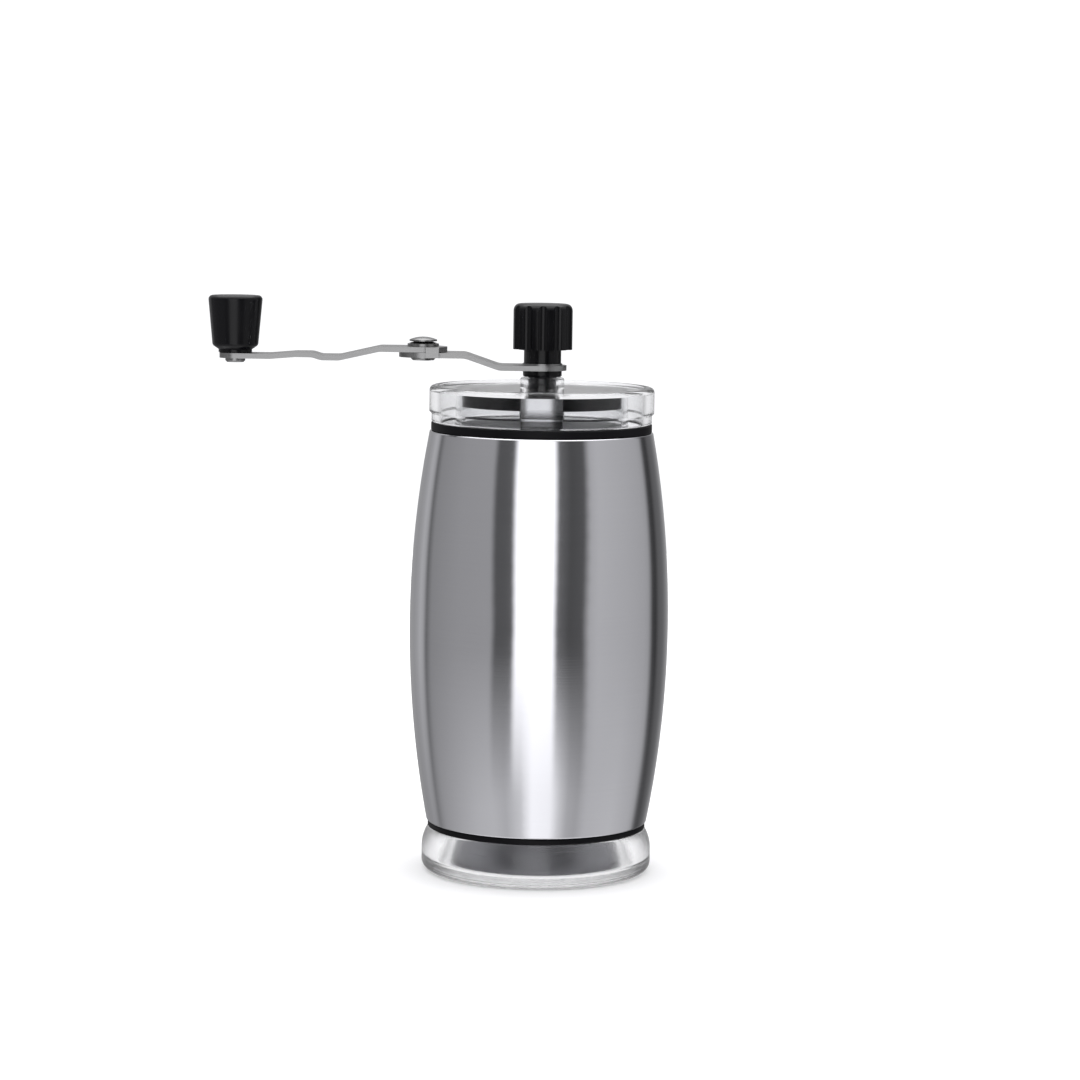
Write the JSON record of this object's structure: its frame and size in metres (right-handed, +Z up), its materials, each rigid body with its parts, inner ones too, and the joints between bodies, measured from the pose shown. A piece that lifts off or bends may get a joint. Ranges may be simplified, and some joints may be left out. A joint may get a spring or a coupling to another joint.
{
  "type": "hand crank coffee grinder",
  "caption": "Upright hand coffee grinder: bulged steel barrel, clear lid and base, folding side crank with a turning knob, and a screw-set conical burr over a steel grounds cup.",
  "frame": {"origin": "centre of the flat underside of the clear base, on the shaft axis", "axes": "+Z up along the drive shaft, -X along the crank as it rests, +Y away from the viewer of the picture"},
  "size_m": [0.1443, 0.0808, 0.179],
  "materials": {
    "clear_acrylic": "clear polished acrylic",
    "barrel_steel": "satin stainless sheet",
    "cup_steel": "satin stainless sheet",
    "strip_steel": "polished strip",
    "bridge_steel": "polished casting",
    "rivet_steel": "bright plated",
    "shaft_steel": "ground bar",
    "spring_steel": "drawn wire",
    "seal_rubber": "soft black",
    "hopper_plastic": "moulded pale grey",
    "liner_plastic": "moulded black",
    "knob_plastic": "semi-gloss black",
    "bush_nylon": "natural nylon",
    "burr_ceramic": "fired, unglazed",
    "insert_brass": "turned"
  },
  "bodies": {
    "base": {"clear_base": "clear_acrylic", "cup_holder": "cup_steel", "grounds_cup": "cup_steel"},
    "housing": {"barrel_shell": "barrel_steel", "hopper": "hopper_plastic", "burr_housing": "liner_plastic", "liner_skirt": "liner_plastic", "liner_ring": "liner_plastic", "upper_seal": "seal_rubber", "lower_seal": "seal_rubber", "shaft_bridge": "bridge_steel", "bridge_ring": "liner_plastic", "upper_bush": "bush_nylon", "lower_bush": "bush_nylon", "ring_burr": "burr_ceramic", "burr_retainer": "liner_plastic", "retainer_screws": "rivet_steel"},
    "lid": {"lid": "clear_acrylic"},
    "crank": {"crank_collar": "knob_plastic", "crank_arm_inner": "strip_steel", "fold_rivet": "rivet_steel", "fold_washer": "rivet_steel"},
    "outer_arm": {"crank_arm_outer": "strip_steel", "grip_pin": "rivet_steel"},
    "grip": {"grip_knob": "knob_plastic", "grip_cap": "knob_plastic"},
    "lock_washer": {"lock_washer": "rivet_steel"},
    "nut": {"thumb_nut": "knob_plastic", "nut_insert": "insert_brass"},
    "drive": {"drive_shaft": "shaft_steel", "shaft_clip": "rivet_steel", "thrust_washer": "rivet_steel", "spring_washer": "rivet_steel", "burr_spring": "spring_steel"},
    "grind_burr": {"cone_burr": "burr_ceramic", "click_plate": "rivet_steel"},
    "adjuster": {"adjust_knob": "liner_plastic"}
  },
  "joints": [
    {"name": "housing_lift", "type": "slide", "parent": "base", "child": "housing", "axis": [0, 0, 1], "range_m": [0, 0.06]},
    {"name": "lid_lift", "type": "slide", "parent": "housing", "child": "lid", "axis": [0, 0, 1], "range_m": [0, 0.045]},
    {"name": "crank_turn", "type": "hinge", "parent": "lid", "child": "crank", "pos_m": [0, 0, 0.1525], "axis": [0, 0, 1], "continuous": true},
    {"name": "arm_fold", "type": "hinge", "parent": "crank", "child": "outer_arm", "pos_m": [-0.0371, 0, 0.1631], "axis": [0, 0, -1], "range_deg": [0, 125]},
    {"name": "grip_spin", "type": "hinge", "parent": "outer_arm", "child": "grip", "pos_m": [-0.0955, 0, 0.168], "axis": [0, 0, 1], "continuous": true},
    {"name": "washer_rise", "type": "slide", "parent": "crank", "child": "lock_washer", "axis": [0, 0, 1], "range_m": [0, 0.0081]},
    {"name": "nut_unscrew", "type": "hinge", "parent": "lock_washer", "child": "nut", "pos_m": [0, 0, 0.165], "axis": [0, 0, 1], "range_deg": [0, 3600]},
    {"name": "shaft_turn", "type": "hinge", "parent": "housing", "child": "drive", "pos_m": [0, 0, 0.1], "axis": [0, 0, 1], "continuous": true},
    {"name": "burr_travel", "type": "slide", "parent": "drive", "child": "grind_burr", "axis": [0, 0, 1], "range_m": [-0.00121, 0.00061], "deforming": ["burr_spring"]},
    {"name": "grind_adjust", "type": "hinge", "parent": "grind_burr", "child": "adjuster", "pos_m": [0, 0, 0.062], "axis": [0, 0, 1], "range_deg": [-540, 270]}
  ],
  "couplings": [
    {"joint": "shaft_turn", "follows": "crank_turn", "ratio": 1},
    {"joint": "washer_rise", "follows": "nut_unscrew", "m_per_rad": 0.00012732},
    {"joint": "burr_travel", "follows": "grind_adjust", "m_per_rad": 0.00012732}
  ]
}
